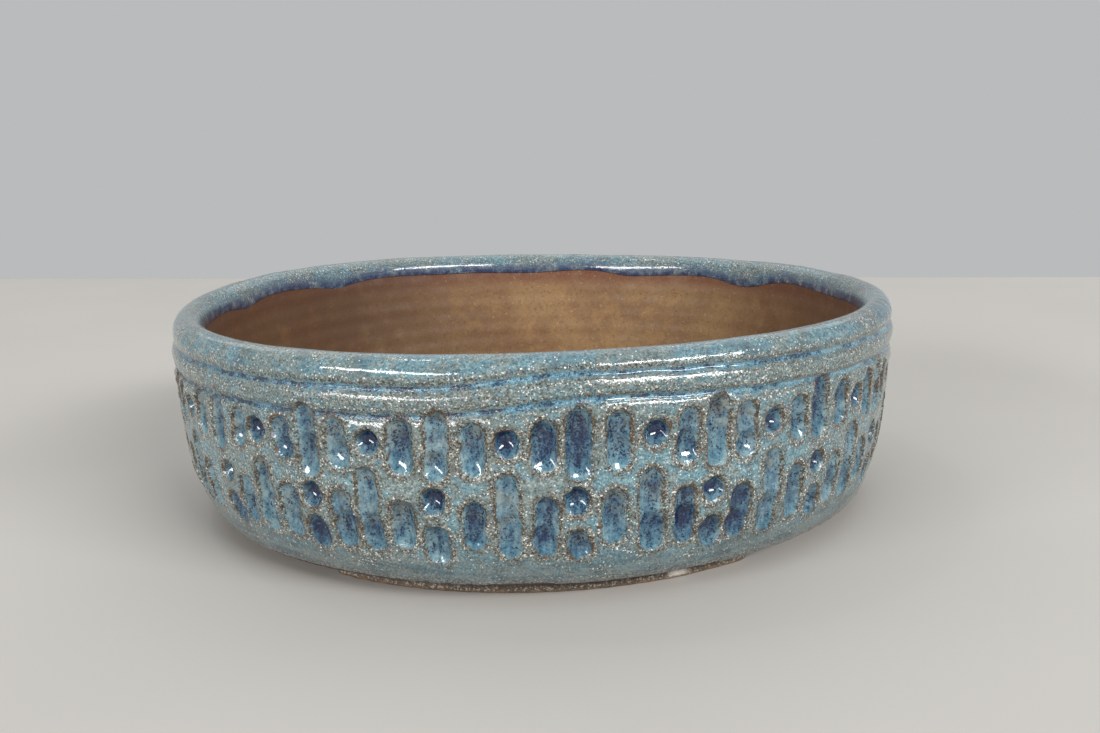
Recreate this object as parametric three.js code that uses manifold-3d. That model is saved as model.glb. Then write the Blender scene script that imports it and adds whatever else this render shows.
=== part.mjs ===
import * as THREE from 'three';
import { mergeGeometries, mergeVertices } from 'three/addons/utils/BufferGeometryUtils.js';
import Module from 'manifold-3d';

// Round bonsai pot: a low stoneware bowl with a carved wall, two scored lines under
// a rounded rim, a drained floor and three long feet.
// Millimetres, +Z up. The origin is on the surface the pot stands on, under its
// centre, and the front faces -Y. Angles are counted from the front towards +X.

// Bowl
const POT_RADIUS = 104; // outside, at the middle of the rim
const POT_HEIGHT = 59;
const RIM_THICKNESS = 8.4;
const WALL_FLARE = 7.8; // from the base's outside out to the rim's
const WALL_FULLNESS = 2.1; // exponent of the wall's curve, where 2 is an ellipse
const WALL_THICKNESS = 9; // at the floor, before carving
const TURN_UNDER = 1.2; // softened edge between the wall and the underside
const FLOOR_THICKNESS = 8;
const FLOOR_FILLET = 10;

// Holes in the floor
const DRAIN_RADIUS = 14;
const DRAIN_EDGE = 1; // softened edge round the drain hole
const WIRE_HOLE_RADIUS = 2;
const WIRE_HOLE_COUNT = 4;
const WIRE_HOLE_CIRCLE = 46; // radius of the circle that the wire holes lie on

// Feet: arcs cut from one low ring
const FOOT_COUNT = 3;
const FOOT_HEIGHT = 4.5;
const FOOT_WIDTH = 9;
const FOOT_SETBACK = 6.4; // from the base's outside in to the feet
const FOOT_ARC = 70; // degrees
const FOOT_EDGE = 0.7; // softened edge all round a foot
const FOOT_CORNER = 2.5; // rounding of a foot's corners, seen from above

// Two lines scored round the collar. They sink slowly as they go round, and climb
// back in one short stretch where the scoring began.
const LINE_DROPS = [13.4, 7.6]; // from the rim's top down to each line, lower line first
const LINE_WIDTH = 1.8;
const LINE_DEPTH = 0.7;
const LINE_CLIMB = 2.4;
const CLIMB_START = -15; // degrees
const CLIMB_ARC = 19; // degrees
const SINK_ARC = 36; // degrees in which the climb fades to about a third

// Carved band. The pattern repeats every four columns, and a gouge is its top and
// bottom as shares of the band, counted down from the band's top.
const BAND_DROP = 11.8; // from the rim's top down to the tallest gouges
const BAND_RISE = 7.2; // from the feet up to the lowest gouges
const MOTIF = [
  [[0, 0.47], [0.52, 0.68], [0.78, 1]],
  [[0.05, 0.41], [0.55, 0.93]],
  [[0.13, 0.3], [0.38, 0.97]],
  [[0.05, 0.41], [0.55, 0.93]],
];
const MOTIF_COUNT = 20;
const PATTERN_TURN = 5.3; // degrees from the front to a column of the motif's first kind
const GOUGE_WIDTH = 5.7;
const GOUGE_DEPTH = 2.2; // at the lower end
const GOUGE_LIFT = 0.3; // share of the depth lost towards the upper end
const LINE_MARGIN = 0.6; // least height of plain wall between a gouge and the line above
const HAND_SHIFT = 0.6; // how far a gouge strays up or down from its place
const SHIFT_STEP = 2.4; // radians between one gouge's stray and the next

// Facets
const COLUMN_COUNT = MOTIF_COUNT * MOTIF.length;
const COLUMN_ARC = 360 / COLUMN_COUNT;
const WALL_STEPS = 6;
const WALL_CROWDING = 1.4; // how far the wall's points crowd towards its bottom
const RIM_STEPS = 6; // even, so that a point lies on the crest
const FILLET_STEPS = 3;
const END_STEPS = 4; // points on each round end of a gouge
const STRIP_WAIST = 0.1; // share that a strip of wall narrows when it is laid flat
const HOLE_STEPS = 16;
const FOOT_STEPS = 14;
const CORNER_STEPS = 3;

const BASE_RADIUS = POT_RADIUS - WALL_FLARE;
const RIM_RADIUS = RIM_THICKNESS / 2;
const RIM_CENTRE = POT_HEIGHT - RIM_RADIUS;
const FLOOR_TOP = FOOT_HEIGHT + FLOOR_THICKNESS;
const BAND_TOP = POT_HEIGHT - BAND_DROP;
const BAND_BOTTOM = FOOT_HEIGHT + BAND_RISE;
const WALL_BOTTOM = FOOT_HEIGHT + TURN_UNDER;

const wasm = await Module();
wasm.setup();

const { degToRad, radToDeg, lerp, inverseLerp, smoothstep, euclideanModulo } = THREE.MathUtils;

// Outside radius of the wall at a height, before carving
function outsideRadius(height) {
  const rise = THREE.MathUtils.clamp((height - FOOT_HEIGHT) / (RIM_CENTRE - FOOT_HEIGHT), 0, 1);
  const swell = (1 - (1 - rise) ** WALL_FULLNESS) ** (1 / WALL_FULLNESS);
  return lerp(BASE_RADIUS, POT_RADIUS, swell);
}

function onPot(angle, radius, height) {
  return [radius * Math.sin(angle), -radius * Math.cos(angle), height];
}

// Closed mesh to solid: shared corners are merged, and slivers on them are dropped.
function toSolid(geometry) {
  geometry.deleteAttribute('normal');
  geometry.deleteAttribute('uv');
  const merged = mergeVertices(geometry, 1e-4);
  const corners = merged.index.array;
  const triangles = [];
  for (let i = 0; i < corners.length; i += 3) {
    const [a, b, c] = corners.subarray(i, i + 3);
    if (a !== b && b !== c && c !== a) {
      triangles.push(a, b, c);
    }
  }
  return new wasm.Manifold(new wasm.Mesh({
    numProp: 3,
    vertProperties: merged.attributes.position.array,
    triVerts: new Uint32Array(triangles),
  }));
}

function toGeometry(solid) {
  const mesh = solid.getMesh();
  const geometry = new THREE.BufferGeometry();
  geometry.setAttribute('position', new THREE.BufferAttribute(mesh.vertProperties, 3));
  geometry.setIndex(new THREE.BufferAttribute(mesh.triVerts, 1));
  geometry.computeVertexNormals();
  return geometry;
}

// Points of an arc in the profile's plane, from one angle to another in degrees
function profileArc(radius, height, size, from, to, steps) {
  return Array.from({ length: steps + 1 }, (_, i) => {
    const turn = degToRad(lerp(from, to, i / steps));
    return new THREE.Vector2(radius + size * Math.cos(turn), height + size * Math.sin(turn));
  });
}

// Heights and depths across one scored line before it wanders, from its lower edge up
function linePoints(drop) {
  const height = POT_HEIGHT - drop;
  return [
    { height: height - LINE_WIDTH / 2, depth: 0 },
    { height, depth: LINE_DEPTH },
    { height: height + LINE_WIDTH / 2, depth: 0 },
  ];
}

// Straight inside wall, rounded into the floor, then the floor in to the drain hole
function insideProfile() {
  const floorRadius = outsideRadius(FLOOR_TOP) - WALL_THICKNESS;
  const wall = new THREE.Vector2(
    POT_RADIUS - RIM_THICKNESS - floorRadius,
    RIM_CENTRE - FLOOR_TOP,
  );
  const lean = radToDeg(Math.atan2(wall.x, wall.y));
  const reach = FLOOR_FILLET * Math.tan(degToRad((90 - lean) / 2));
  const fillet = profileArc(
    floorRadius - reach, FLOOR_TOP + FLOOR_FILLET, FLOOR_FILLET, -lean, -90, FILLET_STEPS,
  );
  const edge = profileArc(
    DRAIN_RADIUS + DRAIN_EDGE, FLOOR_TOP - DRAIN_EDGE, DRAIN_EDGE, 90, 180, 2,
  );
  return [...fillet, ...edge];
}

// Height that the scored lines have gained at an angle
function lineRise(angle) {
  const turn = euclideanModulo(radToDeg(angle) - CLIMB_START, 360);
  const sunk = Math.exp(-Math.max(turn - CLIMB_ARC, 0) / SINK_ARC);
  return LINE_CLIMB * smoothstep(turn, 0, CLIMB_ARC) * sunk;
}

// Everything but the carved wall is turned from one profile, from the wall's top
// over the rim and down inside to the underside. The scored lines then wander.
function turnedBowl() {
  const lines = LINE_DROPS.flatMap(linePoints);
  const rim = profileArc(POT_RADIUS - RIM_RADIUS, RIM_CENTRE, RIM_RADIUS, 0, 180, RIM_STEPS);
  const profile = [
    ...lines.map(({ height, depth }) => (
      new THREE.Vector2(outsideRadius(height) - depth, height)
    )),
    ...rim,
    ...insideProfile(),
    new THREE.Vector2(DRAIN_RADIUS, FOOT_HEIGHT),
    new THREE.Vector2(outsideRadius(WALL_BOTTOM) - TURN_UNDER, FOOT_HEIGHT),
    new THREE.Vector2(outsideRadius(WALL_BOTTOM), WALL_BOTTOM),
  ];
  const start = degToRad(PATTERN_TURN - COLUMN_ARC / 2);
  const bowl = new THREE.LatheGeometry(profile, COLUMN_COUNT, start);
  bowl.rotateX(Math.PI / 2);
  for (let i = 0; i <= COLUMN_COUNT; i += 1) {
    const angle = start + degToRad(i * COLUMN_ARC);
    lines.forEach(({ height, depth }, j) => {
      const raised = height + lineRise(angle);
      const place = onPot(angle, outsideRadius(raised) - depth, raised);
      bowl.attributes.position.setXYZ(i * profile.length + j, ...place);
    });
  }
  return bowl;
}

// One gouge, as rings of points across and up the wall and into it, and its keel:
// it deepens in a round from its outline to a keel that runs deeper at the lower end.
function gougeForm(top, bottom) {
  const middle = (top + bottom) / 2;
  const length = top - bottom;
  const endRun = Math.min(GOUGE_WIDTH, 0.9 * length) / 2;
  const keelHalf = length / 2 - endRun;
  const point = (across, along, share) => {
    const depth = share * GOUGE_DEPTH * (1 - GOUGE_LIFT * (0.5 + along / length));
    return new THREE.Vector3(across, middle + along, depth);
  };
  const ring = (spread, share) => Array.from({ length: 2 * END_STEPS }, (_, i) => {
    const turn = Math.PI * (i + 0.5) / END_STEPS;
    const end = i < END_STEPS ? keelHalf : -keelHalf;
    const across = spread * Math.cos(turn) * GOUGE_WIDTH / 2;
    return point(across, end + spread * endRun * Math.sin(turn), share);
  });
  return {
    outline: ring(1, 0),
    shoulder: ring(0.72, 0.7),
    keel: [point(0, keelHalf, 1), point(0, -keelHalf, 1)],
  };
}

// Triangles inside one gouge, whose outline, shoulder and keel follow on from first
function gougeTriangles(first) {
  const count = 2 * END_STEPS;
  const shoulder = first + count;
  const upperKeel = shoulder + count;
  const lowerKeel = upperKeel + 1;
  const triangles = [];
  for (let i = 0; i < count; i += 1) {
    const next = (i + 1) % count;
    const keel = i < END_STEPS ? upperKeel : lowerKeel;
    triangles.push(first + i, first + next, shoulder + i);
    triangles.push(first + next, shoulder + next, shoulder + i);
    triangles.push(shoulder + i, shoulder + next, keel);
  }
  triangles.push(shoulder + END_STEPS, lowerKeel, upperKeel);
  triangles.push(shoulder, upperKeel, lowerKeel);
  return triangles;
}

// Tops and bottoms of the gouges in a column, each strayed a little by the hand
function columnGouges(column, ceiling) {
  return MOTIF[column % MOTIF.length].map(([from, to], mark) => {
    const stray = HAND_SHIFT * Math.sin(SHIFT_STEP * (column + MOTIF_COUNT * mark));
    const top = Math.min(lerp(BAND_TOP, BAND_BOTTOM, from) + stray, ceiling);
    const bottom = lerp(BAND_TOP, BAND_BOTTOM, to) + stray;
    return gougeForm(top, bottom);
  });
}

// One upright strip of the wall, with its gouges let into it
function carvedColumn(column) {
  const middle = degToRad(PATTERN_TURN + column * COLUMN_ARC);
  const halfArc = degToRad(COLUMN_ARC / 2);
  const lineFoot = linePoints(LINE_DROPS[0])[0].height;
  const ceiling = lineFoot + lineRise(middle) - LINE_MARGIN;
  const gouges = columnGouges(column, ceiling);

  const side = (turn) => Array.from({ length: WALL_STEPS + 1 }, (_, i) => {
    const top = i === WALL_STEPS ? lineFoot + lineRise(middle + turn) : lineFoot;
    const height = lerp(WALL_BOTTOM, top, (i / WALL_STEPS) ** WALL_CROWDING);
    return new THREE.Vector3(turn * outsideRadius(height), height, 0);
  });
  const border = [...side(halfArc), ...side(-halfArc).reverse()];

  // The strip laid flat, drawn in a little at mid height so that no triangle lies
  // along its straight sides
  const flat = (points) => points.map(({ x, y }) => {
    const share = inverseLerp(WALL_BOTTOM, lineFoot, y);
    const waist = 1 - STRIP_WAIST * share * (1 - share);
    return new THREE.Vector2(waist * x / outsideRadius(y), y / POT_RADIUS);
  });
  const outlines = gouges.map(({ outline }) => flat(outline).reverse());
  const faces = THREE.ShapeUtils.triangulateShape(flat(border), outlines);
  const points = [...border, ...gouges.flatMap(({ outline }) => [...outline].reverse())];
  const triangles = faces.flat();
  for (const { outline, shoulder, keel } of gouges) {
    triangles.push(...gougeTriangles(points.length));
    points.push(...outline, ...shoulder, ...keel);
  }

  const wall = new THREE.BufferGeometry();
  const corners = points.flatMap(({ x, y, z }) => {
    const radius = outsideRadius(y);
    return onPot(middle + x / radius, radius - z, y);
  });
  wall.setAttribute('position', new THREE.Float32BufferAttribute(corners, 3));
  wall.setIndex(triangles);
  return wall;
}

function carvedBowl() {
  const bowl = turnedBowl();
  bowl.deleteAttribute('normal');
  bowl.deleteAttribute('uv');
  const columns = Array.from({ length: COLUMN_COUNT }, (_, column) => carvedColumn(column));
  return toSolid(mergeGeometries([bowl, ...columns]));
}

function drillWireHoles(bowl) {
  let drilled = bowl;
  for (let i = 0; i < WIRE_HOLE_COUNT; i += 1) {
    const angle = 2 * Math.PI * (i + 0.5) / WIRE_HOLE_COUNT;
    const drill = new THREE.CylinderGeometry(
      WIRE_HOLE_RADIUS, WIRE_HOLE_RADIUS, 2 * FLOOR_THICKNESS, HOLE_STEPS,
    );
    drill.rotateX(Math.PI / 2);
    drill.translate(...onPot(angle, WIRE_HOLE_CIRCLE, FLOOR_TOP - FLOOR_THICKNESS / 2));
    drilled = drilled.subtract(toSolid(drill));
  }
  return drilled;
}

// Outline of the front foot seen from above: an arc of a ring with rounded corners
function footOutline() {
  const outer = BASE_RADIUS - FOOT_SETBACK;
  const inner = outer - FOOT_WIDTH;
  const halfArc = degToRad(FOOT_ARC / 2);
  const at = (angle, radius) => {
    const [x, y] = onPot(angle, radius, 0);
    return new THREE.Vector2(x, y);
  };
  const arc = (radius, from, to) => Array.from({ length: FOOT_STEPS + 1 }, (_, i) => (
    at(lerp(from, to, i / FOOT_STEPS), radius)
  ));
  const corner = (start, tip, end) => (
    new THREE.QuadraticBezierCurve(start, tip, end).getPoints(CORNER_STEPS).slice(1, -1)
  );
  const outerEnd = halfArc - FOOT_CORNER / outer;
  const innerEnd = halfArc - FOOT_CORNER / inner;
  const cornerAt = (side, radius, inward) => {
    const trim = radius === outer ? outerEnd : innerEnd;
    const onArc = at(side * trim, radius);
    const onEnd = at(side * halfArc, radius + inward);
    return { onArc, tip: at(side * halfArc, radius), onEnd };
  };
  const outerRight = cornerAt(1, outer, -FOOT_CORNER);
  const innerRight = cornerAt(1, inner, FOOT_CORNER);
  const innerLeft = cornerAt(-1, inner, FOOT_CORNER);
  const outerLeft = cornerAt(-1, outer, -FOOT_CORNER);
  return [
    ...arc(outer, -outerEnd, outerEnd),
    ...corner(outerRight.onArc, outerRight.tip, outerRight.onEnd),
    outerRight.onEnd,
    innerRight.onEnd,
    ...corner(innerRight.onEnd, innerRight.tip, innerRight.onArc),
    ...arc(inner, innerEnd, -innerEnd),
    ...corner(innerLeft.onArc, innerLeft.tip, innerLeft.onEnd),
    innerLeft.onEnd,
    outerLeft.onEnd,
    ...corner(outerLeft.onEnd, outerLeft.tip, outerLeft.onArc),
  ];
}

function footGeometry() {
  const foot = new THREE.ExtrudeGeometry(new THREE.Shape(footOutline()), {
    depth: FOOT_HEIGHT - 2 * FOOT_EDGE,
    bevelThickness: FOOT_EDGE,
    bevelSize: FOOT_EDGE,
    bevelOffset: -FOOT_EDGE,
    bevelSegments: 1,
  });
  foot.translate(0, 0, FOOT_EDGE);
  return foot;
}

const glazedClay = new THREE.MeshStandardMaterial({
  color: 0x6f8589,
  roughness: 0.25,
  metalness: 0,
});
const bareClay = new THREE.MeshStandardMaterial({
  color: 0x8a5a3c,
  roughness: 0.85,
  metalness: 0,
});

const pot = new THREE.Group();

const body = new THREE.Mesh(toGeometry(drillWireHoles(carvedBowl())), glazedClay);
body.name = 'pot_body';
pot.add(body);

const FOOT_NAMES = ['foot_front', 'foot_rear_right', 'foot_rear_left'];
for (let i = 0; i < FOOT_COUNT; i += 1) {
  const foot = new THREE.Mesh(footGeometry(), bareClay.clone());
  foot.name = FOOT_NAMES[i] ?? `foot_${i + 1}`;
  foot.rotation.z = i * 2 * Math.PI / FOOT_COUNT;
  pot.add(foot);
}

export default pot;
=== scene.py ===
"""A round glazed bonsai pot on three arc feet, on a pale studio floor.

The glaze is a coat of its own, with the carved band, the two scored lines and the wavy edge inside the rim.
Under it is the bare clay body, with its floor, drain hole, wire holes and underside, and below that the feet.
Angles are in degrees, from the photographed front (-Y) towards +X. Lengths are in millimetres up to
mesh_object, and in metres for the studio.
"""

import math

import bpy
import numpy as np
from mathutils import Matrix, Vector


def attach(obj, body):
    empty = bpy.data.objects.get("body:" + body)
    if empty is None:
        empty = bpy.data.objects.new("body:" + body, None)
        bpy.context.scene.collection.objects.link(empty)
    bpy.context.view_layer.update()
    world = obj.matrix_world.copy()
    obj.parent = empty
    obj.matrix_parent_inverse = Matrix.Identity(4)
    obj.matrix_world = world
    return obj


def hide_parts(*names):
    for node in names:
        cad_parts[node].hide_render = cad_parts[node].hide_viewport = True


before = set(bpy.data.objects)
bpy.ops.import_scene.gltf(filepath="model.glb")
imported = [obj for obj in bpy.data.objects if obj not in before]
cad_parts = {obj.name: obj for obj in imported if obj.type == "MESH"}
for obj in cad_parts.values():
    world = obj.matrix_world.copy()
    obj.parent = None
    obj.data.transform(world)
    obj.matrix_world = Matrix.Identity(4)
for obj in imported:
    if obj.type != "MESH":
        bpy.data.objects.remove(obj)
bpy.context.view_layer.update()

# The pot's main measures, as in the CAD model.
POT_RADIUS = 104.0
POT_HEIGHT = 59.0
RIM_RADIUS = 4.2
RIM_CENTRE = POT_HEIGHT - RIM_RADIUS
RIM_MIDDLE = POT_RADIUS - RIM_RADIUS
BASE_RADIUS = 96.2
WALL_FULLNESS = 2.1
WALL_THICKNESS = 9.0
FLOOR_SPREAD = 1.6
TURN_UNDER = 1.2
FOOT_HEIGHT = 4.5
WALL_BOTTOM = FOOT_HEIGHT + TURN_UNDER
FLOOR_TOP = 12.5
FLOOR_FILLET = 10.0
DRAIN_RADIUS = 14.0
DRAIN_EDGE = 1.0
WIRE_HOLE_RADIUS = 2.0
WIRE_HOLE_CIRCLE = 46.0

# The feet, with a foot's section as (side, inset, height): side 1 is the outside and -1 the inside.
FOOT_OUTSIDE = 89.8
FOOT_WIDTH = 9.0
FOOT_ARC = 70.0
FOOT_CORNER = 2.5
FOOT_TOP = 4.9
FOOT_SIDE = ((0.55, FOOT_TOP), (0.1, 3.9), (0.0, 2.4), (0.0, 1.1), (0.18, 0.45), (0.6, 0.08), (1.1, 0.0))
FOOT_SECTION = ([(-1, *place) for place in FOOT_SIDE] + [(-0.4, 0.0, 0.05), (0.4, 0.0, 0.05)]
                + [(1, *place) for place in reversed(FOOT_SIDE)]
                + [(0.4, 0.0, FOOT_TOP), (-0.4, 0.0, FOOT_TOP)])
FOOT_UNEVEN = 0.13
CHIP_ANGLE, CHIP_HALF_ARC = 21.0, 1.6
CHIP_HEIGHT, CHIP_HALF_HEIGHT = 1.8, 0.85

# How the hand-thrown wall departs from a true turned one.
RIM_LOWERED = 0.39
RIM_HARMONICS = ((1, 0.44, -0.99), (2, -0.08, 0.69), (3, 0.40, -0.08))
OVALITY = (-0.0019, -0.0055)
LEAN_HEIGHTS = (5.0, 10.0, 17.0, 40.0, 54.8)
LEAN_SIDEWAYS = (-0.10, -0.35, -0.75, -0.70, -0.38)
LEAN_BACK = 1.08
TUCK_LOW = 0.8
TUCK_HIGH = 0.15

# The carved band away from the photographed side, in repeats of four columns: each gouge's top, bottom and
# how dark the glaze pools in it.
COLUMN_COUNT = 80
COLUMN_STEP = 360.0 / COLUMN_COUNT
PATTERN_TURN = 5.3
LONG_TOP = [(47.5, 30.9, 0.35), (28.9, 23.0, 0.95), (19.6, 11.3, 0.6)]
PAIR = [(45.1, 32.8, 0.6), (27.2, 14.3, 0.5)]
ROUND_TOP = [(42.7, 36.5, 1.0), (33.2, 12.8, 0.35)]
MOTIF = [LONG_TOP, PAIR, ROUND_TOP, PAIR]

# The gouges on the photographed side, by column: centre angle, top, bottom, how dark the glaze pools.
SEEN = {
    -12: [(-48.4, 47.2, 31.5, 0.5), (-47.6, 29.0, 23.6, 0.9), (-47.2, 21.0, 12.4, 0.9)],
    -11: [(-42.9, 43.9, 33.9, 0.3), (-43.3, 27.0, 13.9, 0.6)],
    -10: [(-39.1, 42.8, 36.4, 1.0), (-39.0, 32.8, 13.3, 0.4)],
    -9: [(-34.2, 44.0, 33.6, 0.95), (-34.5, 27.5, 13.6, 0.3)],
    -8: [(-30.1, 47.7, 30.0, 0.55), (-30.4, 29.0, 22.6, 0.95), (-30.3, 20.6, 11.9, 0.95)],
    -7: [(-25.5, 45.3, 32.8, 0.5), (-25.8, 28.2, 13.3, 0.5)],
    -6: [(-21.2, 42.5, 36.7, 1.0), (-21.8, 33.9, 13.1, 0.4)],
    -5: [(-16.8, 45.6, 32.5, 0.65), (-17.3, 26.7, 14.5, 0.5)],
    -4: [(-12.4, 47.4, 31.1, 0.35), (-13.0, 29.7, 23.4, 0.95), (-13.0, 20.9, 10.9, 0.3)],
    -3: [(-7.7, 44.8, 32.5, 0.6), (-8.1, 26.7, 15.0, 0.7)],
    -2: [(-3.6, 43.1, 36.7, 1.0), (-3.8, 33.4, 12.8, 0.35)],
    -1: [(0.9, 45.0, 33.2, 0.95), (0.8, 27.8, 13.1, 0.85)],
    0: [(5.0, 47.6, 31.1, 0.9), (4.8, 29.5, 22.8, 0.9), (5.0, 19.5, 11.7, 0.75)],
    1: [(9.9, 46.4, 32.8, 0.6), (9.5, 28.6, 15.3, 0.45)],
    2: [(14.7, 43.7, 37.3, 1.0), (14.3, 32.5, 12.2, 0.65)],
    3: [(19.0, 45.6, 32.5, 0.75), (18.9, 27.5, 13.3, 1.0)],
    4: [(23.3, 47.8, 30.8, 0.3), (23.0, 28.4, 22.2, 0.9), (23.0, 19.2, 10.6, 0.8)],
    5: [(27.6, 45.3, 31.6, 0.5), (27.1, 25.6, 11.9, 1.0)],
    6: [(32.0, 42.3, 36.1, 0.9), (32.2, 32.5, 11.2, 0.4)],
    7: [(36.7, 44.2, 32.8, 0.4), (37.1, 27.2, 13.1, 0.45)],
    8: [(41.1, 47.6, 31.7, 0.7), (41.5, 28.9, 22.8, 0.9), (41.5, 20.0, 11.4, 0.7)],
    9: [(46.2, 45.0, 33.2, 0.7), (45.6, 26.7, 13.3, 0.5)],
    10: [(51.0, 42.4, 35.8, 0.95), (50.4, 32.6, 12.4, 0.4)],
}
LAST_SEEN = max(SEEN)

# The tool's scoops. Gouges shorter than DOT_LENGTH are round dots, cut in one.
GOUGE_WIDTH = 5.8
DOT_LENGTH = 7.5
DOT_DEPTH = 2.5
ONE_SCOOP_SHARE = 0.42
FULL_DEPTH = (2.0, 2.3)
FIRST_DEPTH = (1.6, 1.9)
RIDGE = 0.13

# The two scored lines: level at rest, climb, start and arc of the climb, and how slowly it sinks back.
UPPER_LINE = (52.0, 2.9, -15.5, 21.0, 43.0)
LOWER_LINE = (45.7, 3.5, -19.0, 29.0, 34.0)
LINE_HALF_WIDTH = 0.8
LINE_DEPTH = 0.55
LINE_HOLLOW = 0.20
LINE_BURR = 0.10
SWELL_UNDER_UPPER = 0.62
SWELL_UNDER_LOWER = 0.55

# The glaze coat's rows: how far its two lowest are set in, then inside the rim (share of the way from the
# crest to the glaze's edge, inset), and its hidden back (height outside, inset).
FOOT_ROWS_INSET = (0.32, 0.05)
COAT_INSIDE = ((0.16, 0.0), (0.34, 0.0), (0.54, 0.0), (0.74, -0.02), (0.9, -0.06), (0.97, 0.04), (1.0, 0.3))
COAT_BACK = ((53.5, 1.5), (49.5, 3.2), (40.0, 3.5), (22.0, 3.5), (9.5, 2.6), (6.6, 0.9), (5.3, 0.55))

# The glaze's edge inside the rim: its drop below the top, and runs as (angle, half arc, length).
GLAZE_DROP = 6.5
GLAZE_RUNS = ((128, 7, 2.6), (-104, 5, 1.5), (-132, 4, 1.1), (158, 5, 0.9), (72, 6, 1.8), (-61, 6, 1.6),
              (-20, 7, 1.2), (31, 5, 1.7))

# Values of the fields where no gouge or line is near.
FAR_FROM_GOUGE = 4.0
FAR_FROM_LINE = 6.0
USUAL_DARK = 0.5

# Where the light doesn't catch the edges of the lines.
DULL_ANGLE, DULL_HALF_ARC = -41.0, 19.0

# The bare clay: points in a ring, its rows under the glaze (height, inset), how far its face inside lies
# below the profile, and where round the pot that face is left free of the painted shade, so it looks lit.
CLAY_AROUND = 288
CLAY_OUTSIDE = ((5.2, 0.3), (5.9, 0.35), (7.0, 0.8), (8.6, 2.0), (10.5, 3.1), (18.0, 3.1), (28.0, 3.1),
                (38.0, 3.1), (46.0, 3.1), (49.5, 2.7), (51.5, 1.5), (53.5, 1.15))
CLAY_INSET = 0.3
DRAIN_DISH = 0.35
WIRE_HOLE_LIP = 0.3
PAINTED_LIT_ANGLE = 163.0

rng = np.random.default_rng(7)


# The shape of the wall.

def smooth(x, low, high):
    """0 up to low, 1 from high on, and an even curve between."""
    t = np.clip((x - low) / (high - low), 0.0, 1.0)
    return t * t * (3.0 - 2.0 * t)


def bell(x, centre, width, power=2):
    """1 at the centre, falling to nothing within a few widths."""
    return np.exp(-((x - centre) / width) ** power)


def turn_from(centre, angle):
    """The turn from centre to angle, from -180 to 180 degrees."""
    return np.mod(angle - centre + 180.0, 360.0) - 180.0


def outside_radius(z):
    rise = np.clip((z - FOOT_HEIGHT) / (RIM_CENTRE - FOOT_HEIGHT), 0.0, 1.0)
    full = (1.0 - (1.0 - rise) ** WALL_FULLNESS) ** (1.0 / WALL_FULLNESS)
    tuck = TUCK_LOW * (1.0 - smooth(z, 9.0, 20.0)) + TUCK_HIGH * (1.0 - smooth(z, 38.0, 54.0))
    return BASE_RADIUS + (POT_RADIUS - BASE_RADIUS) * full - tuck


def arc(centre, radius, start, end, count):
    t = np.radians(np.linspace(start, end, count))
    return np.stack([centre[0] + radius * np.cos(t), centre[1] + radius * np.sin(t)], -1)


def pot_profile():
    """Radius and height from the turn-under up the outside, over the rim and down the inside."""
    turn_radius = outside_radius(np.array(WALL_BOTTOM)) - TURN_UNDER
    turn = arc((turn_radius, WALL_BOTTOM), TURN_UNDER, -90, 0, 12)[:-1]
    z = np.linspace(WALL_BOTTOM, RIM_CENTRE, 500)
    wall = np.stack([outside_radius(z), z], -1)[:-1]
    rim = arc((RIM_MIDDLE, RIM_CENTRE), RIM_RADIUS, 0, 180, 80)[:-1]
    top = RIM_MIDDLE - RIM_RADIUS
    bottom = outside_radius(np.array(FLOOR_TOP)) - WALL_THICKNESS + FLOOR_SPREAD
    z = np.linspace(RIM_CENTRE, FLOOR_TOP + FLOOR_FILLET, 300)
    share = (RIM_CENTRE - z) / (RIM_CENTRE - FLOOR_TOP)
    inside = np.stack([top + (bottom - top) * share, z], -1)[:-1]
    fillet = arc((inside[-1, 0] - FLOOR_FILLET, FLOOR_TOP + FLOOR_FILLET), FLOOR_FILLET, 0, -90, 40)
    return np.concatenate([turn, wall, rim, inside, fillet])


PROFILE = pot_profile()
LENGTHS = np.concatenate([[0.0], np.cumsum(np.hypot(*np.diff(PROFILE, axis=0).T))])
SLOPE = np.gradient(PROFILE, LENGTHS, axis=0)
OUTWARD = np.stack([SLOPE[:, 1], -SLOPE[:, 0]], -1) / np.hypot(SLOPE[:, 0], SLOPE[:, 1])[:, None]
CREST_INDEX = int(np.argmax(PROFILE[:, 1]))
CREST = LENGTHS[CREST_INDEX]
FLOOR_START = LENGTHS[-1]


def on_profile(u, inset=0.0):
    """Radius and height at length u along the profile, moved in by inset."""
    r = np.interp(u, LENGTHS, PROFILE[:, 0]) - inset * np.interp(u, LENGTHS, OUTWARD[:, 0])
    z = np.interp(u, LENGTHS, PROFILE[:, 1]) - inset * np.interp(u, LENGTHS, OUTWARD[:, 1])
    return r, z


def length_outside(z):
    """Length along the profile at height z on the outside."""
    return np.interp(z, PROFILE[: CREST_INDEX + 1, 1], LENGTHS[: CREST_INDEX + 1])


def length_inside(z):
    """Length along the profile at height z on the inside."""
    return np.interp(-z, -PROFILE[CREST_INDEX:, 1], LENGTHS[CREST_INDEX:])


def placed(angle, r, z):
    """Points in space, with the lean, the uneven rim and the ovality of the thrown wall."""
    a = np.radians(angle)
    wave = -RIM_LOWERED
    for turns, cosine, sine in RIM_HARMONICS:
        wave = wave + cosine * np.cos(turns * a) + sine * np.sin(turns * a)
    oval = 1.0 + OVALITY[0] * np.cos(2 * a) + OVALITY[1] * np.sin(2 * a)
    share = np.clip(z - FOOT_HEIGHT, 0, None) / (POT_HEIGHT - FOOT_HEIGHT)
    x = r * oval * np.sin(a) + np.interp(z, LEAN_HEIGHTS, LEAN_SIDEWAYS)
    y = -r * oval * np.cos(a) + LEAN_BACK * share
    return np.stack([x, y, z + wave * share], -1)


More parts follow.
